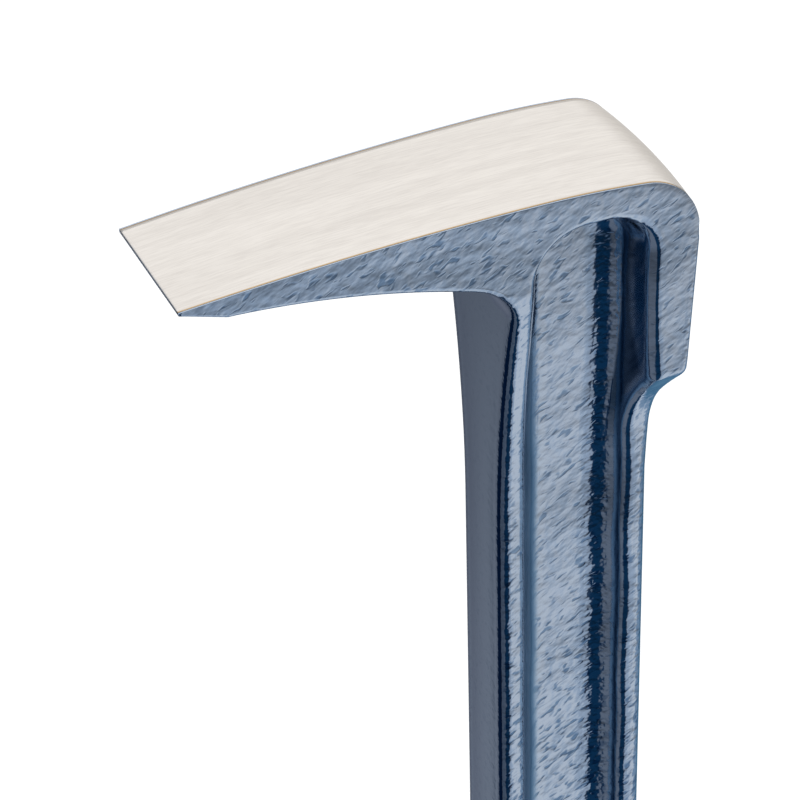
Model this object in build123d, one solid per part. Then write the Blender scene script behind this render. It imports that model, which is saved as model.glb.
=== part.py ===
from build123d import *
import math
import os

# One-piece forged pry bar: square-set chisel head with a rocker heel, I-section shank, nail-claw foot.
# Millimetres. X runs from the chisel edge (minus) to the heel (plus), Y across the bar, Z up the shank.
# The drawing puts X = 0 on the shank's centre line. The finished solids are then moved along X, so that the
# origin is at the middle of the whole bar's outline, on its middle plane, at the level of the claw tip.

# Driving dimensions
overall_height = 457.3
crest_rise = 3.2            # the head's crest above its chisel edge
edge_reach = 69.0           # chisel edge to the shank's centre line
edge_width = 25.4           # the chisel's cutting width
cheek_draft = 1.08          # degrees by which each cheek opens from chisel edge to heel
shank_depth = 27.1          # across the flanges, along X
shank_width = 15.1          # across the flange edges, along Y
web_thickness = 5.2
channel_floor = 16.6        # width of the channel at the web, before its fillets
channel_draft = 12.0         # degrees of draft on the channel walls
channel_floor_radius = 7.0  # plan radius of the channel's arched ends, at the web
web_fillet = 4.5
crest_fillet = 1.6          # rounding of the flange edges
coat = 0.25                 # thickness of the hammer-finish coat

edge_level = overall_height - crest_rise
half_depth = shank_depth / 2
half_width = shank_width / 2
half_web = web_thickness / 2

# Heel block, measured from the chisel edge's level
heel_lean = math.radians(3.9)
heel_face_x = 18.3
heel_face_z = edge_level - 11.0
heel_bottom_z = edge_level - 36.0
heel_corner = 1.6
heel_run_radius = 20.0

# Run-in from the shank's width to the head's, ahead of and behind the centre line
front_run_start = edge_level - 66.0
front_run_radius = 213.0
back_run_start = edge_level - 48.2
back_run_radius = 12.5

# Underside of the arm
land_height = 0.45
bevel_end = (-61.2, edge_level - 3.2)
arm_root_z = edge_level - 12.9
arm_sagitta = 1.9
arm_fillet = 9.5

# Channel ends
channel_top = edge_level - 4.5
channel_bottom = 104.0

# Claw foot
foot_start = 92.0
claw_half_width = 15.0
claw_shoulder = 14.0
claw_tip_x = 7.0
claw_tip_back = 9.1
grind_start = (-14.05, 70.0)
slot_mouth = 4.0
slot_end_radius = 1.0
slot_depth = 26.0
slot_flare = 5.0            # degrees by which the nail slot widens towards the back

# Grinding allowance left on the blank, and how far cutters reach past the bar
allowance = 1.2
reach = 6.0


def heel_x(z):
    """X of the heel's leaning back face at height z."""
    return heel_face_x + math.tan(heel_lean) * (z - heel_face_z)


def blank_outline(grow):
    """Side view of the forging before grinding, grown outwards by a coat."""
    crest_z = overall_height + allowance
    tip_x = -edge_reach - allowance
    bevel_slope = (edge_level - land_height - bevel_end[1]) / (edge_reach + bevel_end[0])
    bevel_start = (tip_x, edge_level - land_height + bevel_slope * allowance)
    heel_toe = (heel_x(heel_bottom_z), heel_bottom_z)
    heel_root = (half_depth + 0.4, heel_bottom_z - 5.2)
    arm_root = (-half_depth, arm_root_z)
    with BuildSketch() as side:
        with BuildLine():
            Polyline(
                bevel_start,
                (tip_x, edge_level + allowance),
                (-14.0, crest_z),
                (heel_x(crest_z), crest_z),
                heel_toe,
                heel_root,
                (half_depth, heel_root[1] - 30),
                (half_depth, foot_start),
            )
            neck = TangentArc((half_depth, foot_start), (8.4, 55.0), tangent=(0, -1))
            TangentArc(neck @ 1, (claw_tip_back, -allowance), tangent=neck % 1)
            Line((claw_tip_back, -allowance), (claw_tip_x - 1.8, -allowance))
            TangentArc((-half_depth, foot_start), (claw_tip_x - 1.8, -allowance), tangent=(0, -1))
            Line((-half_depth, foot_start), arm_root)
            SagittaArc(bevel_end, arm_root, arm_sagitta)
            Line(bevel_end, bevel_start)
        make_face()
        rounds = {arm_root: arm_fillet, heel_toe: heel_corner, heel_root: heel_run_radius}
        for corner, radius in rounds.items():
            fillet(side.vertices().sort_by_distance(corner)[0], radius)
        if grow:
            offset(amount=grow)
    return side.sketch


def width_outline(run_start, run_radius, grow):
    """Front view of the bar's half width: wide head, tangent run-in to the shank, flared claw."""
    top = overall_height + reach
    wide = claw_half_width + 2.0
    climb = math.sqrt(run_radius**2 - (run_radius - (wide - half_width)) ** 2)
    with BuildSketch() as front:
        with BuildLine() as edge:
            Line((0, top), (wide, top))
            Line((wide, top), (wide, run_start + climb))
            TangentArc((half_width, run_start), (wide, run_start + climb), tangent=(0, 1))
            Line((half_width, run_start), (half_width, foot_start))
            TangentArc((half_width, foot_start), (claw_half_width, claw_shoulder), tangent=(0, -1))
            Line((claw_half_width, claw_shoulder), (claw_half_width - 0.8, -allowance))
            Line((claw_half_width - 0.8, -allowance), (0, -allowance))
            mirror(edge.line, about=Plane.YZ)
        make_face()
        if grow:
            offset(amount=grow)
    return front.sketch


def cheek_limits(grow):
    """Plan view of the head: the cheeks open by their draft from the chisel edge to the heel."""
    slope = math.tan(math.radians(cheek_draft))
    ahead, behind = -edge_reach - reach, 30.0
    half_ahead = edge_width / 2 + slope * (ahead + edge_reach) + grow
    half_behind = edge_width / 2 + slope * (behind + edge_reach) + grow
    plan = Polygon((ahead, -half_ahead), (behind, -half_behind), (behind, half_behind), (ahead, half_ahead), align=None)
    return Pos(0, 0, -reach) * extrude(plan, overall_height + 2 * reach)


def channel_cutter(grow):
    """One side's channel: arched at both ends, drafted walls, filleted along the web. Grown inwards by a coat."""
    floor = channel_floor - 2 * grow
    height = channel_top - channel_bottom - 2 * grow
    middle = (channel_top + channel_bottom) / 2
    plan = Pos(0, middle) * RectangleRounded(floor, height, channel_floor_radius - grow)
    tool = extrude(Plane.XZ.offset(half_web + grow) * plan, 14.0, taper=-channel_draft)
    floor_edges = tool.edges().group_by(Axis.Y)[-1]
    return fillet(floor_edges, web_fillet - grow)


def crest_rounding(grow):
    """The four corners taken off the shank's flange edges along its straight run."""
    radius = crest_fillet + grow
    x, y = half_depth + grow - radius, half_width + grow - radius
    with BuildSketch() as corners:
        with BuildLine():
            RadiusArc((x, y + radius), (x + radius, y), radius)
            Polyline((x + radius, y), (x + reach, y), (x + reach, y + reach), (x, y + reach), (x, y + radius))
        make_face()
        mirror(about=Plane.YZ)
        mirror(about=Plane.XZ)
    run_bottom = foot_start + 2.0 + grow
    run_top = front_run_start - 2.0 - grow
    return Pos(0, 0, run_bottom) * extrude(corners.sketch, run_top - run_bottom)


def forged_blank(grow):
    """The whole bar before grinding, at the steel's surface (0) or at the coat's outer surface."""
    side = extrude(Plane.XZ * blank_outline(grow), 20.0, both=True)
    front_run = Plane.YZ * width_outline(front_run_start, front_run_radius, grow)
    back_run = Plane.YZ * width_outline(back_run_start, back_run_radius, grow)
    front_half = extrude(front_run, -90.0)
    back_half = extrude(back_run, 40.0)
    bar = side & cheek_limits(grow) & (front_half + back_half)
    channel = channel_cutter(grow)
    return bar - crest_rounding(grow) - channel - mirror(channel, about=Plane.XZ)


def grinding():
    """Everything that grinding takes off: the head's rocker face, the chisel's land, the claw's face and tip."""
    high, far = overall_height + reach, heel_face_x + reach
    crest = (-9.0, overall_height)
    heel = ((9.0, edge_level + 2.1), (15.36, edge_level - 1.12), (18.3, edge_level - 7.0))
    exit_point = (19.04, edge_level - 12.3)
    with BuildSketch() as head:
        with BuildLine():
            Line((-edge_reach, edge_level - reach), (-edge_reach, edge_level))
            TangentArc(crest, (-edge_reach, edge_level), tangent=(-1, 0))
            rocker = TangentArc(crest, heel[0], tangent=(1, 0))
            for point in heel[1:]:
                rocker = TangentArc(rocker @ 1, point, tangent=rocker % 1)
            Polyline(
                heel[-1], exit_point, (far, exit_point[1]), (far, high), (-edge_reach - reach, high),
                (-edge_reach - reach, edge_level - reach), (-edge_reach, edge_level - reach),
            )
        make_face()
    with BuildSketch() as claw:
        with BuildLine():
            SagittaArc(grind_start, (claw_tip_x, 0), -1.1)
            Polyline(
                (claw_tip_x, 0), (half_depth + reach, 0), (half_depth + reach, -reach),
                (-half_depth - reach, -reach), (-half_depth - reach, grind_start[1]), grind_start,
            )
        make_face()
    return extrude(Plane.XZ * (head.sketch + claw.sketch), 30.0, both=True)


def nail_slot():
    """The claw's V-shaped nail slot, widening towards the back of the bar."""
    with BuildSketch() as vee:
        with BuildLine():
            Line((-slot_mouth, -reach), (-slot_mouth, 0))
            Line((-slot_mouth, 0), (-slot_end_radius, slot_depth))
            ThreePointArc(
                (-slot_end_radius, slot_depth), (0, slot_depth + slot_end_radius), (slot_end_radius, slot_depth)
            )
            Line((slot_end_radius, slot_depth), (slot_mouth, 0))
            Polyline((slot_mouth, 0), (slot_mouth, -reach), (-slot_mouth, -reach))
        make_face()
    return extrude(Plane.YZ.offset(-half_depth) * vee.sketch, shank_depth + reach, taper=-slot_flare)


os.makedirs("parts", exist_ok=True)
removed = grinding() + nail_slot()
steel_blank = forged_blank(0)
coated_blank = forged_blank(coat)
forged_bar = steel_blank - removed
hammer_finish_coat = coated_blank - steel_blank - removed
outline = hammer_finish_coat.bounding_box()
to_middle = Pos(-(outline.min.X + outline.max.X) / 2, 0, 0)
export_step(to_middle * forged_bar, "parts/forged_bar.step")
export_step(to_middle * hammer_finish_coat, "parts/hammer_finish_coat.step")
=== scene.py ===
import math

import bmesh
import bpy
import numpy as np
from mathutils import Matrix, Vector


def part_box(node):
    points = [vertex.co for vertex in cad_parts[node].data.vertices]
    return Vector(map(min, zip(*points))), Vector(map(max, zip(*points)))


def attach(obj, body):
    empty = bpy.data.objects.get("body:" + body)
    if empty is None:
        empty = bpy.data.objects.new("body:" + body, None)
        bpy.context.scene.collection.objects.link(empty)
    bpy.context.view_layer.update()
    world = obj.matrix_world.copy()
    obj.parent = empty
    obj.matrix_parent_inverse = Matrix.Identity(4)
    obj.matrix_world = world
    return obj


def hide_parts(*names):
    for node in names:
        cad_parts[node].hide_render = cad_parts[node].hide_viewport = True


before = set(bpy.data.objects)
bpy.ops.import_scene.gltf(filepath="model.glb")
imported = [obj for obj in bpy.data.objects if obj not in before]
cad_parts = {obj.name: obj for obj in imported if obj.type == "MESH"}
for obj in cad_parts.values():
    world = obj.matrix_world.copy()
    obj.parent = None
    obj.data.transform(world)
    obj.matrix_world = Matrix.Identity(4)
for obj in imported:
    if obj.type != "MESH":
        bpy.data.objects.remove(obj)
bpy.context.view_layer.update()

# The shapes below are worked out in millimetres on the bar's own drawing: X = 0 on the shank's centre line,
# Z = 0 at the claw's tip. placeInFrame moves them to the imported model's origin and to metres.
edgeLevel = 454.1  # height of the chisel edge
chiselX = -69.0
coatFilm = 0.25
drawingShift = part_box("hammer_finish_coat")[0].x * 1000 - chiselX


def placeInFrame(points):  # drawing millimetres to frame metres
    moved = np.array(points, float)
    moved[..., 0] += drawingShift
    return moved / 1000


def ramp(value, start, end):  # 0 at start, 1 at end, straight in between; start may be the greater one
    return np.clip((value - start) / (end - start), 0, 1)


def readOff(value, table):  # a table of (place, amount) pairs read at any place, straight in between
    return np.interp(value, *zip(*table))


def softMin(a, b, reach):  # the lower of two heights, blended where they are within reach of each other
    gap = np.maximum(reach - np.abs(a - b), 0)
    return np.minimum(a, b) - gap**2 / (4 * reach)


def smoothNoise(points, size, seed, waves=14):
    # Sum of sine waves in random directions, about one hump per size in millimetres: even, seeded, and smooth.
    random = np.random.default_rng(seed)
    total = np.zeros(points.shape[:-1])
    for _ in range(waves):
        direction = random.normal(size=3)
        direction /= np.linalg.norm(direction)
        pace = 2 * math.pi / size * random.uniform(0.6, 1.5)
        total += np.sin(points @ direction * pace + random.uniform(0, 2 * math.pi))
    return total / math.sqrt(waves)


def arcFrom(start, end, heading, steps=40):
    # Circle through start and end that leaves start along heading, which is the chord turned by the angle
    # between them. Also gives the heading at the end.
    start, end = np.array(start, float), np.array(end, float)
    chord = end - start
    chordTurn = math.atan2(chord[1], chord[0])
    lean = (heading - chordTurn + math.pi) % (2 * math.pi) - math.pi
    if abs(lean) < 1e-6:
        return start + np.linspace(0, 1, steps)[:, None] * chord, heading
    radius = np.linalg.norm(chord) / (2 * math.sin(abs(lean)))
    side = -math.copysign(1, lean)
    centre = start + radius * side * np.array([-math.sin(heading), math.cos(heading)])
    first = math.atan2(start[1] - centre[1], start[0] - centre[0])
    angles = first - 2 * lean * np.linspace(0, 1, steps)
    return centre + radius * np.stack([np.cos(angles), np.sin(angles)], 1), heading - 2 * lean


def roundCorner(before, corner, after, radius, steps=14):
    # Corner rounded by the circle that touches both its sides, as points from side to side.
    before, corner, after = (np.array(p, float) for p in (before, corner, after))
    a, b = before - corner, after - corner
    a, b = a / np.linalg.norm(a), b / np.linalg.norm(b)
    half = math.acos(np.clip(a @ b, -1, 1)) / 2
    touch = radius / math.tan(half)
    middle = corner + (a + b) / np.linalg.norm(a + b) * radius / math.sin(half)
    p, q = corner + a * touch - middle, corner + b * touch - middle
    sweep = np.linspace(0, 1, steps)[:, None]
    turn = math.acos(np.clip(p @ q / radius**2, -1, 1))
    return middle + (np.sin((1 - sweep) * turn) * p + np.sin(sweep * turn) * q) / math.sin(turn)


def evenSteps(points, step=0.2):  # the same line, with points spread evenly along it
    apart = np.linalg.norm(np.diff(points, axis=0), axis=1) > 1e-6
    points = np.concatenate([points[:1], points[1:][apart]])
    along = np.concatenate([[0], np.cumsum(np.linalg.norm(np.diff(points, axis=0), axis=1))])
    at = np.linspace(0, along[-1], int(along[-1] / step) + 2)
    return np.stack([np.interp(at, along, points[:, k]) for k in range(2)], 1)


forging = {
    # Side view of the head: X, and height above the chisel edge.
    "crest": (-9.0, 2.9), "rockerEnds": ((9.0, 1.95), (15.25, -1.15), (18.2, -7.2)),
    "heelTop": (18.45, -11.0), "heelBottom": (17.0, -36.0), "heelCorner": 1.2,
    "stepIn": (14.5, -43.2), "stepRadius": 15.0, "stepAim": -100.0, "straightFrom": -60.0,
    "edgeLand": ((0.0, -0.6), (0.3, -0.72)), "bevelEnd": (-61.2, -3.2), "underRise": 1.9,
    "armRoot": (-13.55, -12.9), "armFillet": 9.5,
    # Side view of the shank and the claw: X, and height above the claw's tip.
    "shankX": 13.55, "backFull": 0.3, "footStart": 92.0, "neck": (8.4, 55.0), "clawTip": (7.0, 9.1),
    "grindTop": 74.0, "grindLean": 0.17,
    # Half widths: cheeks, shank, the runs between them (front: start, radius; back: foot, slope, blend), claw, slot.
    "halfEdge": 12.7, "draft": 0.01885, "halfShank": 7.55, "cheekBlend": 0.6,
    "frontRun": (-66.0, 213.0), "backRun": (-44.6, 0.84, 5.5), "runMiddle": (-4.0, 4.0),
    "clawHalf": 14.15, "flareLength": 78.0, "flareLead": 0.35,
    "slotMouth": 5.3, "slotEnd": 2.1, "slotRelief": 0.35, "reliefLength": 2.0,
    # The channel, with its section in the shank and in the head, and the heights where one becomes the other.
    "channelTop": 448.9, "channelBottom": 104.0, "channelShift": 0.15, "floorRadius": 7.0,
    "halfWeb": (2.6, 3.3), "halfFloor": (7.35, 8.6), "wallDraft": (24.0, 8.0),
    "webFillet": (6.1, 5.5), "mouthRadius": (2.1, 1.4), "sectionChange": (396.0, 430.0),
    # The slanting strip that the channel's mouth has in the head, measured from the mouth's outline.
    "stripStart": -1.5, "stripEnd": 0.9, "stripSlope": 1.28, "stripRounding": (0.5, 0.25), "stripFade": (408.0, 422.0),
    # Radius of the long edges: by X under the arm, and by height in front and at the back.
    "armRims": ((-69, 0.25), (-60, 0.7), (-20, 1.0), (-13.2, 1.2)), "armFrom": 436.0,
    "frontRims": ((0, 0.3), (10, 0.6), (70, 1.5), (92, 1.7), (400, 1.7), (428, 1.4), (436, 1.2)),
    "backRims": (
        (0, 0.3), (20, 0.9), (80, 1.6), (92, 1.8), (400, 1.8), (412, 1.3), (420, 0.5),
        (444, 0.45), (445.8, 0.3), (446.4, 0.06), (460, 0.06)),
    "groundRim": 0.06, "groundFrom": 446.3, "groundCorner": (14.0, 448.0), "rimLimit": 0.3,
    # The mesh: columns of each part of a loop, and how the side's columns crowd at the channel's walls.
    "rimSteps": 5, "sideSteps": 64, "bandSteps": 13, "slotSteps": 6,
    "wallCrowd": 6.0, "crowdMiddle": 0.7, "crowdReach": 1.3,
    # The recess under the ground face, the waviness of forged sides, and the crown of the shank's front.
    "recess": 0.45, "recessEnd": (445.2, 446.1), "recessLean": 0.1, "filmEdge": 0.25,
    "wave": 0.12, "waveSize": 22, "waveLift": 0.6, "waveEdge": 4.0, "waveLength": 14.0,
    "frontCrown": 0.15, "crownFade": ((60, 0), (90, 1), (425, 1), (440, 0)),
}


def outerOutline():
    # Side view from the chisel edge over the rocker, the heel and its step, then down the back to the claw's tip.
    f = forging
    lift = np.array([0, edgeLevel])
    rocker, _ = arcFrom(f["crest"], (chiselX, 0), math.pi)
    parts, heading, start = [rocker[::-1] + lift], 0.0, f["crest"]
    for end in f["rockerEnds"]:
        piece, heading = arcFrom(start, end, heading, 24)
        parts.append(piece[1:] + lift)
        start = end
    back = f["shankX"] + f["backFull"]
    parts.append(np.array([f["heelTop"]]) + lift)
    parts.append(roundCorner(f["heelTop"], f["heelBottom"], f["stepIn"], f["heelCorner"]) + lift)
    parts.append(roundCorner(f["heelBottom"], f["stepIn"], (back, f["stepAim"]), f["stepRadius"]) + lift)
    parts.append(np.array([[back, f["straightFrom"]]]) + lift)
    neck, heading = arcFrom((back, f["footStart"]), f["neck"], -math.pi / 2)
    claw, _ = arcFrom(f["neck"], (f["clawTip"][1], 0), heading)
    return evenSteps(np.concatenate(parts + [neck, claw[1:]]))


def innerOutline():
    # Side view from under the chisel edge along the bevel and the arm's underside, an arc that rises above its
    # chord, then round the fillet and down the front to the claw's tip.
    f = forging
    lift = np.array([0, edgeLevel])
    root, bevel = np.array(f["armRoot"]), np.array(f["bevelEnd"])
    chord = root - bevel
    heading = math.atan2(chord[1], chord[0]) + 2 * math.atan(2 * f["underRise"] / np.linalg.norm(chord))
    under, _ = arcFrom(bevel, root, heading)
    front = -f["shankX"] - coatFilm * 0.5
    fillet = roundCorner(under[-8], (front, root[1]), (front, f["straightFrom"]), f["armFillet"], 30)
    under = under[under[:, 0] < fillet[0, 0] - 0.5]
    landing = np.array(f["edgeLand"]) + (chiselX, 0)
    grind, _ = arcFrom((front, f["grindTop"]), (f["clawTip"][0], 0), f["grindLean"] - math.pi / 2)
    above = [[front, f["grindTop"] + 0.2]]
    return evenSteps(np.concatenate([landing + lift, under + lift, fillet + lift, above, grind]))


# Where rows of the body start and end: a point on the inner outline, one on the outer, and the rows between.
rowKeys = [
    ((-69.0, 453.4), (-69.0, 454.1), 0), ((-61.2, 450.9), (-61.0, 455.1), 17),
    ((-24.0, 445.0), (-21.0, 456.8), 80), ((-17.6, 442.3), (-9.0, 457.0), 26),
    ((-15.2, 438.2), (15.4, 453.0), 50), ((-13.7, 431.0), (18.5, 440.5), 30),
    ((-13.7, 419.5), (17.0, 419.5), 42), ((-13.7, 411.5), (13.8, 411.0), 22),
    ((-13.7, 398.0), (13.7, 398.0), 28), ((-13.7, 334.0), (13.7, 334.0), 72),
    ((-13.7, 112.0), (13.7, 112.0), 56), ((-13.7, 97.0), (13.7, 97.0), 26),
    ((-4.0, 29.5), (6.3, 29.0), 44), ((-1.9, 24.6), (6.7, 24.6), 12), ((7.0, 0.0), (9.1, 0.0), 26),
]
rowBlur = 13  # rows over which a change of spacing is spread
shankRow = sum(key[2] for key in rowKeys[:8])  # the first row of the plain shank
slotRow = sum(key[2] for key in rowKeys[:-2])  # the row where the nail slot ends


def bodyRows():
    # Rows of the body: pairs of points that run along both outlines together, from one pair of keys to the next.
    # Also gives each outline's direction at its points.
    found = []
    for line, which in ((innerOutline(), 0), (outerOutline(), 1)):
        marks = [int(np.argmin(np.linalg.norm(line - np.array(key[which]), axis=1))) for key in rowKeys]
        marks[0], marks[-1] = 0, len(line) - 1
        rows = [np.array([marks[0]], float)]
        for n in range(1, len(rowKeys)):
            rows.append(np.linspace(marks[n - 1], marks[n], rowKeys[n][2] + 1)[1:])
        rows = np.concatenate(rows)
        padded = np.pad(rows, rowBlur // 2, mode="reflect", reflect_type="odd")
        smooth = np.convolve(padded, np.ones(rowBlur) / rowBlur, "valid")
        smooth[0], smooth[-1] = rows[0], rows[-1]
        index = np.arange(len(line))
        at, ahead, behind = (
            np.stack([np.interp(smooth + shift, index, line[:, k]) for k in range(2)], 1) for shift in (0, 1, -1))
        along = ahead - behind
        found += [at, along / np.linalg.norm(along, axis=1, keepdims=True)]
    return found


def halfWidth(x, z):
    # Half width of the bar: drafted cheeks, drawn in to the shank by a long arc in front and a short slope behind.
    # The claw widens as the square of the way down, a little ahead of it at first.
    f = forging
    cheek = f["halfEdge"] + f["draft"] * (x - chiselX) + coatFilm
    (start, radius), (foot, slope, reach) = f["frontRun"], f["backRun"]
    climb = np.clip(z - edgeLevel - start, 0, radius * 0.98)
    frontWidth = radius - np.sqrt(radius**2 - climb**2)
    backWidth = -softMin(0, slope * (edgeLevel + foot - z), reach)
    towardsBack = ramp(x, *f["runMiddle"])
    shank = f["halfShank"] + coatFilm
    run = shank + frontWidth * (1 - towardsBack) + backWidth * towardsBack
    down = ramp(z, f["footStart"], f["footStart"] - f["flareLength"])
    claw = shank + (f["clawHalf"] - f["halfShank"]) * down**2 * (1 + f["flareLead"] * (1 - down))
    return softMin(cheek, np.where(z < f["footStart"], claw, run), f["cheekBlend"])


def channelSize(name, z):  # a size of the channel's section at a height: the shank's, the head's, or in between
    share = ramp(z, *forging["sectionChange"])
    share = share * share * (3 - 2 * share)
    shank, head = forging[name]
    return shank + (head - shank) * share


def channelDistance(x, z):  # distance to the channel floor's rounded outline, negative inside it
    f = forging
    middle, half = (f["channelTop"] + f["channelBottom"]) / 2, (f["channelTop"] - f["channelBottom"]) / 2
    qx = np.abs(x - f["channelShift"]) - channelSize("halfFloor", z) + f["floorRadius"]
    qz = np.abs(z - middle) - half + f["floorRadius"]
    outside = np.hypot(np.maximum(qx, 0), np.maximum(qz, 0))
    return outside + np.minimum(np.maximum(qx, qz), 0) - f["floorRadius"]


def sideHeight(x, z, width):
    # Height of the side face above the middle plane: web, concave fillet, drafted wall, rounded mouth, then the
    # full width. Also gives the distances from the floor's outline and from the mouth's, negative inside.
    f = forging
    draft = np.radians(channelSize("wallDraft", z))
    tangent = np.tan((math.pi / 2 - draft) / 2)
    floor = channelSize("halfWeb", z) + coatFilm
    fromFloor = channelDistance(x, z)
    fromMouth = fromFloor - (width - floor) * np.tan(draft)
    wall = floor + fromFloor / np.tan(draft)
    room = np.maximum(width - floor, 0.1) / (1 - np.sin(draft))
    radius = np.minimum(channelSize("webFillet", z), room * 0.7)
    mouthRadius = np.minimum(channelSize("mouthRadius", z), room - radius)
    low, top = tangent * radius, tangent * mouthRadius
    rise = np.clip(fromFloor + low, 0, radius)
    fillet = floor + radius - np.sqrt(np.maximum(radius**2 - rise**2, 0))
    inside = np.where(fromFloor < -low, floor, np.where(fromFloor < low * np.sin(draft), fillet, wall))
    bend = np.clip(top - fromMouth, 0, mouthRadius)
    mouth = width - mouthRadius + np.sqrt(np.maximum(mouthRadius**2 - bend**2, 0))
    rounded = np.where(fromMouth > top, width, np.where(fromMouth > -top * np.sin(draft), mouth, inside))
    # In the head the mouth is a slanting strip with rounded borders instead.
    strip = width - (f["stripEnd"] - fromMouth) * f["stripSlope"]
    innerRounding, outerRounding = f["stripRounding"]
    slanting = softMin(softMin(inside, strip, innerRounding), width, outerRounding)
    slanting = np.where(fromMouth > f["stripStart"], slanting, inside)
    return rounded + (slanting - rounded) * ramp(z, *f["stripFade"]), fromFloor, fromMouth


def rimRadii(inner, outer):
    # Rounding of the four long edges, row by row: small at the chisel, sharp at the ground face, full on the shank.
    f = forging
    frontRadius, underRadius = readOff(inner[:, 1], f["frontRims"]), readOff(inner[:, 0], f["armRims"])
    x, z = outer[:, 0], outer[:, 1]
    onTop = (z > f["groundFrom"]) | ((x < f["groundCorner"][0]) & (z > f["groundCorner"][1]))
    innerRadius = np.where(inner[:, 1] < f["armFrom"], frontRadius, underRadius)
    return innerRadius, np.where(onTop, f["groundRim"], readOff(z, f["backRims"]))


def groundShare(outer):  # 1 on the rows whose outer edge is on the ground rocker face, falling to 0 past its end
    return ramp(outer[:, 1], *forging["recessEnd"])


def crossSections():
    # The body as sections, one per row: each has a side face from the front edge to the back edge, with a quarter
    # ellipse at both ends, travel 1 - cos and drop 1 - sin.
    f = forging
    inner, innerAlong, outer, outerAlong = bodyRows()
    across = outer - inner
    length = np.linalg.norm(across, axis=1)
    across = across / length[:, None]
    bite = [np.abs(across[:, 0] * t[:, 1] - across[:, 1] * t[:, 0]).clip(0.3, 1) for t in (innerAlong, outerAlong)]
    innerRadius, outerRadius = (
        np.minimum(radius, length * f["rimLimit"])[:, None] for radius in rimRadii(inner, outer))
    turn = np.linspace(0, math.pi / 2, f["rimSteps"])
    rimIn = innerRadius * (1 - np.cos(turn)) / bite[0][:, None]
    rimOut = length[:, None] - (outerRadius * (1 - np.cos(turn)) / bite[1][:, None])[:, ::-1]
    # Between the rims the columns crowd where the row crosses a wall of the channel.
    even = np.linspace(0, 1, 500)
    probe = rimIn[:, -1:] + (rimOut[:, :1] - rimIn[:, -1:]) * even
    wallGap = channelDistance(inner[:, :1] + across[:, :1] * probe, inner[:, 1:] + across[:, 1:] * probe)
    crowd = np.exp(-(((wallGap - f["crowdMiddle"]) / f["crowdReach"]) ** 2))
    density = np.cumsum(1 + f["wallCrowd"] * crowd, axis=1)
    density = (density - density[:, :1]) / (density[:, -1:] - density[:, :1])
    steps = np.linspace(0, 1, f["sideSteps"] + 2)[1:-1]
    share = np.stack([np.interp(steps, row, even) for row in density])
    middle = rimIn[:, -1:] + (rimOut[:, :1] - rimIn[:, -1:]) * share
    travel = np.concatenate([rimIn, middle, rimOut], 1)
    x = inner[:, :1] + across[:, :1] * travel
    z = inner[:, 1:] + across[:, 1:] * travel
    wave = f["wave"] * smoothNoise(np.stack([x, z, np.zeros_like(x)], -1), f["waveSize"], 3)
    y, fromFloor, fromMouth = sideHeight(x + wave, z, halfWidth(x, z))
    fade = ramp(travel, 0, f["waveEdge"]) * ramp(length[:, None] - travel, 0, f["waveEdge"])
    y = y + f["waveLift"] * wave * fade * ramp(length[:, None], 0, f["waveLength"])
    drop = np.zeros_like(y)
    drop[:, : f["rimSteps"]] = innerRadius * (1 - np.sin(turn))
    drop[:, -f["rimSteps"]:] = (outerRadius * (1 - np.sin(turn)))[:, ::-1]
    return {
        "inner": inner, "outer": outer, "outerNormal": np.stack([-outerAlong[:, 1], outerAlong[:, 0]], 1),
        "x": x, "z": z, "y": y - drop, "fromFloor": fromFloor, "fromMouth": fromMouth,
    }


def meshPiece(name, points, faces, layers):
    # A closed mesh from millimetre points: welded where sections meet, normals outwards, one float layer per name.
    mesh = bpy.data.meshes.new(name)
    mesh.from_pydata(placeInFrame(points).tolist(), [], faces)
    for layer, values in layers.items():
        mesh.attributes.new(layer, "FLOAT", "POINT").data.foreach_set("value", np.asarray(values, np.float32))
    edit = bmesh.new()
    edit.from_mesh(mesh)
    bmesh.ops.remove_doubles(edit, verts=edit.verts, dist=2e-6)
    bmesh.ops.dissolve_degenerate(edit, edges=edit.edges, dist=1e-7)
    bmesh.ops.recalc_face_normals(edit, faces=edit.faces)
    edit.to_mesh(mesh)
    edit.free()
    mesh.polygons.foreach_set("use_smooth", np.ones(len(mesh.polygons), bool))
    mesh.update()
    piece = bpy.data.objects.new(name, mesh)
    bpy.context.scene.collection.objects.link(piece)
    print(name, len(mesh.vertices), "vertices", sum(len(p.vertices) - 2 for p in mesh.polygons), "triangles")
    return piece


def gridFaces(rows, columns, first=0):  # quads between neighbouring rows of a grid whose columns go round
    r = np.arange(rows - 1)[:, None] * columns
    c = np.arange(columns)[None, :]
    following = (c + 1) % columns
    quads = np.stack([r + c, r + following, r + columns + following, r + columns + c], -1)
    return (quads.reshape(-1, 4) + first).tolist()


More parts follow.
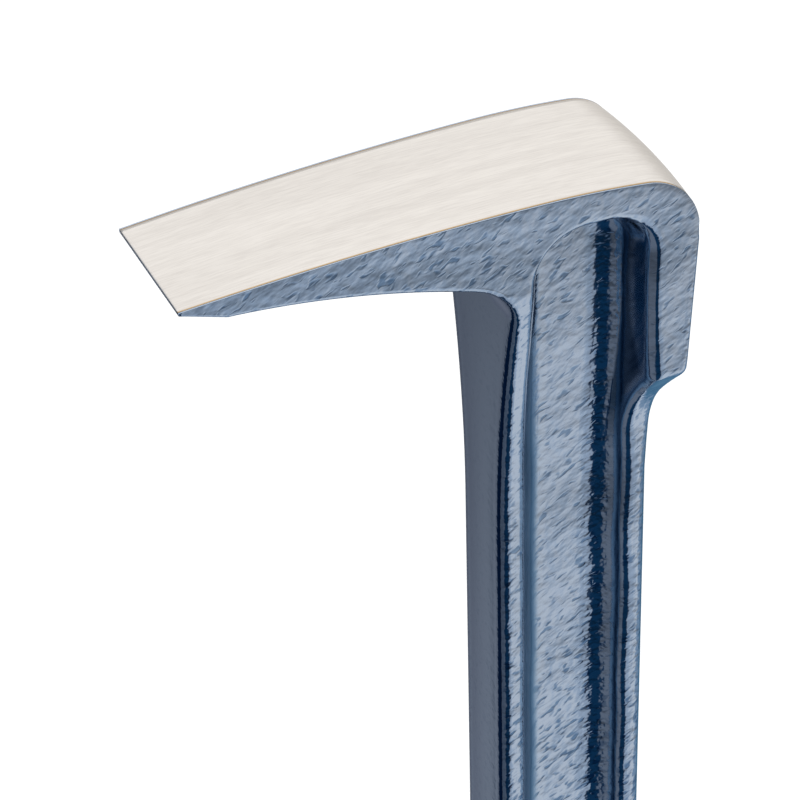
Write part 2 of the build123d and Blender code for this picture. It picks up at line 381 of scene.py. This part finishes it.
def bodyLoops(section):
    # Each loop: near side from the front edge to the back edge, back band to the far side, far side, front band.
    # The back band sinks into the recess under the ground face; the front band bulges by 1 - u squared.
    f, x, y, z = forging, section["x"], section["y"], section["z"]
    inner, outer, normal, edge = section["inner"], section["outer"], section["outerNormal"], y[:, -1]
    stripe = np.minimum(f["filmEdge"], edge * 0.2)
    uniform = np.linspace(-1, 1, f["bandSteps"])
    backY = [stripe - edge] + [(edge - stripe - f["recessLean"]) * u for u in uniform] + [edge - stripe]
    backY = np.stack(backY, 1)
    sink = np.repeat(f["recess"] * groundShare(outer)[:, None], f["bandSteps"], 1)
    sink = np.pad(sink, ((0, 0), (1, 1)))
    backX, backZ = outer[:, :1] - normal[:, :1] * sink, outer[:, 1:] - normal[:, 1:] * sink
    frontY = y[:, :1] * np.linspace(1, -1, f["bandSteps"] + 2)[1:-1]
    bulge = f["frontCrown"] * readOff(inner[:, 1], f["crownFade"])[:, None] * (1 - uniform**2)
    frontX, frontZ = inner[:, :1] - bulge, np.repeat(inner[:, 1:], f["bandSteps"], 1)
    return np.stack([np.concatenate(part, 1) for part in (
        (x, backX, x[:, ::-1], frontX), (-y, backY, y[:, ::-1], frontY), (z, backZ, z[:, ::-1], frontZ))], -1)


# Where the paint's finish changes, and where painted reflection and painted shade go, as the places where a mask is 0
# and where it is 1.
finish = {
    "filletInner": (-2.8, -1.4), "filletOuter": (0.0, -0.3),
    "beadsInner": (-4.2, -3.2), "beadsOuter": (0.8, 0.2), "beadsBottom": (30, 60), "beadsTop": (446, 440),
    # The wall and line entries and frontRim place painted shade: darker paint on the rear wall in the head, along a
    # wavering line down the shank's rear wall, and on the front rims.
    "wallInner": (-0.1, 0.1), "wallOuter": (-0.7, -0.95), "wallBottom": (398, 408),
    "lineAt": -0.57, "lineReach": 0.16, "lineWobble": 0.08, "wobbleSize": 5,
    "lineBottom": (104, 110), "lineTop": (402, 396),
    "frontRim": (0.3, 0.6, 0.6, 0.2, 0.0), "groundClaw": 69,
}


def finishLayers(section):
    # Masks for the paint: the channel's fillet in front, whose bluer colour is a painted reflection, the beaded edges,
    # and painted shade, which darkens the rear wall in the head, a wavering line down the shank's rear wall, and the
    # shank's front rims.
    s, m, z = finish, forging["rimSteps"], section["z"]
    fromFloor, fromMouth, front = section["fromFloor"], section["fromMouth"], section["x"] < forging["channelShift"]
    # The front fillet's mask: its bluer colour is a painted reflection of the web, and the mask also smooths the bump
    # and roughens the paint.
    fillet = ramp(fromFloor, *s["filletInner"]) * ramp(fromMouth, *s["filletOuter"]) * front
    beads = ramp(fromFloor, *s["beadsInner"]) * ramp(fromFloor, *s["beadsOuter"]) * ~front
    beads[:, :m] = beads[:, -m:] = 1
    beads *= ramp(z, *s["beadsBottom"]) * ramp(z, *s["beadsTop"])
    # Painted shade: the rear wall in the head, a wavering line down the shank's rear wall, and the front rims.
    deep = ramp(fromFloor, *s["wallInner"]) * ramp(fromMouth, *s["wallOuter"]) * ramp(z, *s["wallBottom"]) * ~front
    wobble = s["lineWobble"] * smoothNoise(np.stack([z * 0, z * 0, z], -1), s["wobbleSize"], 11)
    line = np.exp(-(((fromMouth - s["lineAt"] + wobble) / s["lineReach"]) ** 2)) * ~front
    deep = np.maximum(deep, line * ramp(z, *s["lineTop"]) * ramp(z, *s["lineBottom"]))
    deep[:, :m] = np.array(s["frontRim"]) * beads[:, :1]
    backBand, frontBand = (np.zeros((len(z), count)) for count in (forging["bandSteps"] + 2, forging["bandSteps"]))
    return {
        name: np.concatenate([layer, backBand, layer[:, ::-1], frontBand], 1).reshape(-1)
        for name, layer in (("hollow", fillet), ("beads", beads), ("deep", deep))}


def clawTine(section, tine, side):
    # One half of the claw: half of each loop, squeezed outwards to clear the nail slot, and closed by a wall of it.
    # The slot is a V that opens towards the tip, with a round end, and is wider at the back.
    f = forging
    bands = []
    for which, column, relief in (("inner", 0, 0), ("outer", -1, f["slotRelief"])):
        line, full = section[which][slotRow:], section["y"][slotRow:, column, None]
        fall = np.maximum(line[0, 1] - line[:, 1:], 0)
        taper = f["slotEnd"] + (f["slotMouth"] - f["slotEnd"]) * fall / line[0, 1]
        roundEnd = np.sqrt(f["slotEnd"] ** 2 - np.maximum(f["slotEnd"] - fall, 0) ** 2)
        slot = np.minimum(taper, roundEnd) + relief * np.minimum(fall, f["reliefLength"])
        bands.append(np.abs(tine[..., 0] - line[:, :1]) + np.abs(tine[..., 2] - line[:, 1:]) < 1e-6)
        size = np.abs(tine[..., 1])
        squeezed = side * np.where(size <= full, slot + size * (full - slot) / full, size)
        tine[..., 1] = np.where(bands[-1], squeezed, tine[..., 1])
    start, end = tine[:, -1], tine[:, 0]
    share = np.linspace(0, 1, f["slotSteps"])[None, 1:-1, None]
    wall = start[:, None] + (end - start)[:, None] * share
    bare = np.pad(bands[0], ((0, 0), (0, wall.shape[1])), constant_values=True)  # front, slot and tip
    bare[:, 0] = bare[:, tine.shape[1] - 1] = bare[-1] = True
    return np.concatenate([tine, wall], 1), bare


def paintedForging(section):  # whole loops down to the slot's end, then the claw's two tines
    loops = bodyLoops(section)
    columns, bandSteps = loops.shape[1], forging["bandSteps"]
    backMiddle = section["x"].shape[1] + (bandSteps + 1) // 2
    frontMiddle = columns - (bandSteps + 1) // 2
    faces = gridFaces(slotRow + 1, columns) + [list(range(columns))]
    points = [loops.reshape(-1, 3)]
    bare = [((loops[..., 2] < finish["groundClaw"]) & (np.arange(columns) >= columns - bandSteps)).reshape(-1)]
    near = list(range(frontMiddle, columns)) + list(range(backMiddle + 1))
    far = list(range(backMiddle, frontMiddle + 1))
    for side, pick in ((-1, near), (1, far)):
        tine, steel = clawTine(section, loops[slotRow:, pick], side)
        first, width = sum(len(part) for part in points), tine.shape[1]
        last = first + (len(tine) - 1) * width
        faces += gridFaces(len(tine), width, first) + [list(range(last, last + width))[::-1]]
        points.append(tine.reshape(-1, 3))
        bare.append(steel.reshape(-1))
    points = np.concatenate(points)
    layers = finishLayers(section)
    layers = {name: np.pad(values, (0, len(points) - len(values))) for name, values in layers.items()}
    return points, faces, {"bareSteel": np.concatenate(bare), **layers}


ground = {"columns": 27, "gap": 0.01, "crown": ((-69, 0.035), (-40, 0.175), (0, 0.315), (18, 0.77))}  # crown by X


def groundFace(section):
    # Thin plate in the recess of the head's top: its upper side is the ground rocker face, crowned across the bar
    # by 1 - u squared.
    keep = np.flatnonzero(groundShare(section["outer"]) > 0)
    keep = keep[keep < shankRow]
    outer, edge, normal = section["outer"][keep], section["y"][keep, -1], section["outerNormal"][keep]
    half = (edge - np.minimum(forging["filmEdge"], edge * 0.2) - ground["gap"] / 2)[:, None]
    thick = (forging["recess"] * groundShare(outer) - ground["gap"])[:, None] * np.ones(ground["columns"])
    across = np.linspace(-1, 1, ground["columns"])
    lift = readOff(outer[:, 0], ground["crown"])[:, None] * (1 - across**2)
    topX, topZ = outer[:, :1] + normal[:, :1] * lift, outer[:, 1:] + normal[:, 1:] * lift
    lowX, lowZ = outer[:, :1] - normal[:, :1] * thick, outer[:, 1:] - normal[:, 1:] * thick
    topY, lowY = half * across, (half - forging["recessLean"]) * across
    loop = [np.concatenate([a, b[:, ::-1]], 1) for a, b in ((topX, lowX), (topY, lowY), (topZ, lowZ))]
    points = np.stack(loop, -1)
    rows, columns = points.shape[:2]
    ends = [list(range(columns))[::-1], list(range((rows - 1) * columns, rows * columns))]
    fromEdge = np.concatenate([half * (1 - np.abs(across)), np.zeros_like(lowY)], 1)
    return points.reshape(-1, 3), gridFaces(rows, columns) + ends, {"fromEdge": fromEdge.reshape(-1)}


section = crossSections()
paint = meshPiece("paintedForging", *paintedForging(section))
steel = meshPiece("groundHeadFace", *groundFace(section))
print("pieces made")


class Wire:  # one socket of a material: arithmetic on it adds Math nodes, node() adds any other kind
    def __init__(self, tree, socket=None):
        self.tree, self.socket = tree, socket

    def node(self, kind, settings=None, inputs=None, output=0):
        made = self.tree.nodes.new(kind)
        for name, value in (settings or {}).items():
            if name == "stops":  # the first and the last are at 0 and 1
                stops = made.color_ramp.elements
                stops[0].color, stops[1].color = (*value[0][1], 1), (*value[-1][1], 1)
                for place, colour in value[1:-1]:
                    stops.new(place).color = (*colour, 1)
            else:
                setattr(made, name, value)
        for name, value in (inputs or {}).items():
            if isinstance(value, Wire):
                self.tree.links.new(value.socket, made.inputs[name])
            else:
                made.inputs[name].default_value = value
        return Wire(self.tree, made.outputs[output] if len(made.outputs) else None)

    def maths(self, operation, *values):
        return self.node("ShaderNodeMath", {"operation": operation}, dict(enumerate(values)))

    def __add__(self, other): return self.maths("ADD", self, other)
    def __radd__(self, other): return self.maths("ADD", other, self)
    def __sub__(self, other): return self.maths("SUBTRACT", self, other)
    def __rsub__(self, other): return self.maths("SUBTRACT", other, self)
    def __mul__(self, other): return self.maths("MULTIPLY", self, other)
    def __rmul__(self, other): return self.maths("MULTIPLY", other, self)
    def __truediv__(self, other): return self.maths("DIVIDE", self, other)
    def __rtruediv__(self, other): return self.maths("DIVIDE", other, self)

    def step(self, low, high):  # 0 below low, 1 above high, smooth between
        limits = {"Value": self, "From Min": low, "From Max": high}
        return self.node("ShaderNodeMapRange", {"interpolation_type": "SMOOTHSTEP"}, limits)

    def blend(self, first, second):  # this value's mix of two colours
        colours = {n: (v if isinstance(v, Wire) else (*v, 1)) for n, v in ((6, first), (7, second))}
        return self.node("ShaderNodeMix", {"data_type": "RGBA"}, {0: self, **colours}, 2)


def newMaterial(name):
    material = bpy.data.materials.new(name)
    material.use_nodes = True
    tree = material.node_tree
    tree.nodes.clear()
    return material, Wire(tree)


def finishMaterial(start, sockets):
    surface = start.node("ShaderNodeBsdfPrincipled", None, sockets)
    start.node("ShaderNodeOutputMaterial", None, {"Surface": surface})


def objectPlace(start):  # object coordinates
    return start.node("ShaderNodeTexCoord", None, None, 3)


def component(vector, axis):  # X, Y or Z of a vector, as 0, 1 or 2
    return vector.node("ShaderNodeSeparateXYZ", None, {"Vector": vector}, axis)


def meshLayer(start, name):  # a float layer of the mesh
    return start.node("ShaderNodeAttribute", {"attribute_name": name}, None, 2)


def pattern(start, turn, scale):  # object coordinates, turned in the side view and stretched, to read noise at
    turned = start.node("ShaderNodeMapping", None, {"Vector": objectPlace(start), "Rotation": (0, turn, 0)})
    return start.node("ShaderNodeVectorMath", {"operation": "MULTIPLY"}, {0: turned, 1: scale})


def noise(start, place, scale, detail=1.0, rough=0.5, distortion=0.0):
    sizes = {"Vector": place, "Scale": scale, "Detail": detail, "Roughness": rough, "Distortion": distortion}
    return start.node("ShaderNodeTexNoise", None, sizes)


hammer = {
    # flat is the paint's colour; pit is darker blue, partly the paint's own tone and partly painted shade in the
    # dimples; the fillet blue is a painted reflection of the web in the front fillet; the shade tone is painted shade.
    "flat": (0.37, 0.44, 0.545), "pit": (0.11, 0.195, 0.32), "fillet": (0.09, 0.25, 0.41),
    "shade": (0.02, 0.07, 0.14), "bareSteel": (0.62, 0.60, 0.57),
    "pitShare": 0.8, "filletReflectionShare": 0.75, "shadeShare": 0.85,
    "turn": math.radians(30), "dashStretch": (0.45, 0.8, 1.0), "swellStretch": (0.75, 0.9, 1.0),
    "dashSize": 960.0, "distortion": 0.3, "swellSize": 420.0, "grainSize": 900.0,
    "coarseBelow": (0.32, 0.40), "coarsePits": 0.05, "coarseRelief": 0.4, "pitRange": (0.56, 0.74),
    "sideRange": (0.05, 0.8), "leastStrength": 0.15, "smoothFillet": 0.8,
    "dashRelief": 0.12, "grainRelief": 0.14, "pitRelief": 0.09, "swellRelief": 0.4, "beadRelief": 0.32,
    "depth": 0.00036, "rough": 0.12, "steelRough": 0.2, "filletRough": 0.3, "coat": 0.5, "coatRough": 0.05,
}


def hammerPaint():
    material, start = newMaterial("hammerPaint")
    h = hammer
    dashes = noise(start, pattern(start, h["turn"], h["dashStretch"]), h["dashSize"], distortion=h["distortion"])
    coarse = 1 - component(objectPlace(start), 2).step(*h["coarseBelow"])
    pits = (dashes + coarse * h["coarsePits"]).step(*h["pitRange"])
    soft = pattern(start, h["turn"], h["swellStretch"])
    swell, grain = noise(start, soft, h["swellSize"]), noise(start, soft, h["grainSize"])
    bare, fillet, beads, deep = (meshLayer(start, name) for name in ("bareSteel", "hollow", "beads", "deep"))
    facing = component(start.node("ShaderNodeNewGeometry", None, None, 1), 1)
    # The hammer finish is strong on the sides, faint on the narrow front and back, and coarser low on the shank.
    strength = (facing * facing).step(*h["sideRange"]) * (1 - h["leastStrength"]) + h["leastStrength"]
    strength = strength * (coarse * h["coarseRelief"] + 1.0) * (1 - bare) * (1 - fillet * h["smoothFillet"])
    relief = dashes * h["dashRelief"] + grain * h["grainRelief"] - pits * h["pitRelief"] + swell * h["swellRelief"]
    relief = relief * strength + grain * beads * h["beadRelief"] * (1 - deep)
    # Colour: darker in the pits (partly the paint's own tone, partly painted shade), bluer in the front fillet as a
    # painted reflection, and darker by painted shade on the rear wall, a line and the front rims; the painted shade
    # also takes away the coat.
    colour = (pits * h["pitShare"] * strength).blend(h["flat"], h["pit"])
    colour = (fillet * h["filletReflectionShare"]).blend(colour, h["fillet"])
    colour = (deep * h["shadeShare"]).blend(colour, h["shade"])
    finishMaterial(start, {
        "Base Color": bare.blend(colour, h["bareSteel"]), "Metallic": 1.0,
        "Roughness": bare * h["steelRough"] + fillet * h["filletRough"] + h["rough"],
        "Normal": start.node("ShaderNodeBump", None, {"Height": relief, "Distance": h["depth"], "Strength": 1.0}),
        "Coat Weight": (1 - bare) * (1 - deep) * h["coat"], "Coat Roughness": h["coatRough"],
    })
    return material


belt = {
    "base": (0.74, 0.705, 0.665), "dull": (0.60, 0.565, 0.53), "amber": (0.50, 0.33, 0.15),
    "stretch": (0.05, 1.0, 0.3), "fineSize": 4200.0, "fineDetail": 3.0, "fineRough": 0.65,
    "broadSize": 500.0, "broadDetail": 2.0, "fineRange": (0.38, 0.68), "broadRange": (0.35, 0.7),
    "fineShare": 0.45, "broadShare": 0.3, "amberShare": 0.9, "amberRange": (0.12, 0.38),
    "broadRelief": 0.6, "depth": 0.00002, "bump": 0.5, "rough": 0.34, "roughLines": 0.12,
}


def groundSteel():
    material, start = newMaterial("groundSteel")
    g = belt
    place = pattern(start, 0.0, g["stretch"])
    fine = noise(start, place, g["fineSize"], g["fineDetail"], g["fineRough"])
    broad = noise(start, place, g["broadSize"], g["broadDetail"])
    amber = 1 - meshLayer(start, "fromEdge").step(*g["amberRange"])
    dull = fine.step(*g["fineRange"]) * g["fineShare"] + broad.step(*g["broadRange"]) * g["broadShare"]
    relief = {"Height": fine + broad * g["broadRelief"], "Distance": g["depth"], "Strength": g["bump"]}
    finishMaterial(start, {
        "Base Color": (amber * g["amberShare"]).blend(dull.blend(g["base"], g["dull"]), g["amber"]),
        "Metallic": 1.0, "Roughness": fine * g["roughLines"] + g["rough"],
        "Normal": start.node("ShaderNodeBump", None, relief),
    })
    return material


paint.data.materials.append(hammerPaint())
steel.data.materials.append(groundSteel())
for piece, node, slot in ((paint, "hammer_finish_coat", "hammer_paint"), (steel, "forged_bar", "ground_steel")):
    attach(piece, "root")
    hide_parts(node)
print("materials and frame links done")


stage = {"floorSize": 12.0, "floorColour": (0.95, 0.95, 0.95), "shellRadius": 5.88}


def paleFloor():
    half = stage["floorSize"] / 2
    mesh = bpy.data.meshes.new("floor")
    mesh.from_pydata([(-half, -half, 0), (half, -half, 0), (half, half, 0), (-half, half, 0)], [], [(0, 1, 2, 3)])
    floor = bpy.data.objects.new("floor", mesh)
    bpy.context.scene.collection.objects.link(floor)
    material, start = newMaterial("floorWhite")
    colour = (*stage["floorColour"], 1)
    finishMaterial(start, {"Base Color": colour, "Roughness": 0.9, "Specular IOR Level": 0.1})
    mesh.materials.append(material)
    floor.visible_glossy = False


def paleBackdrop():  # what is seen past the floor: a white shell that neither lights nor mirrors in the bar
    edit = bmesh.new()
    bmesh.ops.create_icosphere(edit, subdivisions=4, radius=stage["shellRadius"])
    mesh = bpy.data.meshes.new("backdrop")
    edit.to_mesh(mesh)
    edit.free()
    backdrop = bpy.data.objects.new("backdrop", mesh)
    bpy.context.scene.collection.objects.link(backdrop)
    material, start = newMaterial("backdropWhite")
    black, white = (0, 0, 0, 1), (1, 1, 1, 1)
    finishMaterial(start, {"Base Color": black, "Emission Color": white, "Emission Strength": 1.0})
    mesh.materials.append(material)
    backdrop.visible_diffuse = backdrop.visible_glossy = backdrop.visible_shadow = False
    backdrop.visible_transmission = backdrop.visible_volume_scatter = False


# Studio surroundings as a ring of tones for light that comes from below eye level: azimuth in degrees from +X
# towards +Y. The other values say where the ring fades: by height of the direction, or by share of the ring.
grey, navy, dark, dusk = (0.23, 0.26, 0.31), (0.008, 0.05, 0.115), (0.004, 0.02, 0.06), (0.17, 0.19, 0.24)
surroundings = {
    "ring": (
        (-180, grey), (-144, grey), (-139, navy), (-97, navy), (-91, (0.60, 0.66, 0.74)),
        (-75, (0.62, 0.71, 0.81)), (-66, (0.79, 0.86, 0.93)), (-61, (0.97, 0.98, 1.0)), (-58, (1.0, 1.0, 1.0)),
        (-40, (0.95, 0.98, 1.0)), (-32, (0.35, 0.485, 0.63)), (-4, (0.33, 0.46, 0.60)), (8, (0.105, 0.25, 0.39)),
        (60, (0.11, 0.24, 0.37)), (84, dusk), (108, dusk), (119, (0.28, 0.31, 0.36)),
        (126, dark), (173, dark), (177, grey), (180, grey)),
    "above": (1.2, 1.2, 1.2), "horizon": (0.16, 0.23, 0.32), "warmHorizon": (0.75, 0.73, 0.70),
    "fallHeights": (-0.67, -0.43), "fallShares": (1.0, 0.38), "levelRange": (-0.42, -0.22), "aboveRange": (0.10, 0.30),
    "behindStart": (0.52, 0.62), "behindEnd": (0.70, 0.76), "behindLift": 0.26,
}


def studioWorld():
    world = bpy.data.worlds.new("studio")
    world.use_nodes = True
    world.node_tree.nodes.clear()
    start, s = Wire(world.node_tree), surroundings
    direction = start.node("ShaderNodeTexCoord", None, None, 0)
    x, y, z = (component(direction, axis) for axis in range(3))
    azimuth = y.maths("ARCTAN2", y, x) / (2 * math.pi) + 0.5
    stops = [((degrees + 180) / 360, tone) for degrees, tone in s["ring"]]
    ring = azimuth.node("ShaderNodeValToRGB", {"stops": stops}, {"Fac": azimuth})
    # Light from low down is brighter; from level with the bar it is dark in front and warm behind.
    (low, high), (bright, dim) = s["fallHeights"], s["fallShares"]
    limits = {"Value": z, "From Min": low, "From Max": high, "To Min": bright, "To Max": dim}
    falling = start.node("ShaderNodeMapRange", None, limits)
    ring = start.node("ShaderNodeVectorMath", {"operation": "SCALE"}, {0: ring, "Scale": falling})
    behind = azimuth.step(*s["behindStart"]) * (1 - azimuth.step(*s["behindEnd"]))
    level = (z + behind * s["behindLift"]).step(*s["levelRange"])
    tone = level.blend(ring, behind.blend(s["horizon"], s["warmHorizon"]))
    tone = z.step(*s["aboveRange"]).blend(tone, s["above"])
    back = start.node("ShaderNodeBackground", None, {"Color": tone, "Strength": 1.0})
    start.node("ShaderNodeOutputWorld", None, {"Surface": back})
    bpy.context.scene.world = world


paleFloor()
paleBackdrop()
studioWorld()

# The camera looks down at the head: its place on the drawing, its three directions, and its lens in millimetres.
view = {
    "place": (-198.83, -400.96, 733.60), "lens": 149.13, "sensor": 36, "farthest": 50,
    "right": (0.9129, -0.4076, -0.0237), "up": (0.2574, 0.5294, 0.8084), "ahead": (0.3169, 0.7441, -0.5881),
}
camera = bpy.data.objects.new("camera", bpy.data.cameras.new("camera"))
camera.data.lens, camera.data.sensor_width, camera.data.clip_end = view["lens"], view["sensor"], view["farthest"]
turn = Matrix([[view["right"][k], view["up"][k], -view["ahead"][k]] for k in range(3)])
camera.matrix_world = Matrix.Translation(placeInFrame(view["place"]).tolist()) @ turn.to_4x4()
bpy.context.scene.collection.objects.link(camera)
bpy.context.scene.camera = camera
bpy.context.scene.view_settings.view_transform = "Standard"
print("studio and camera done")
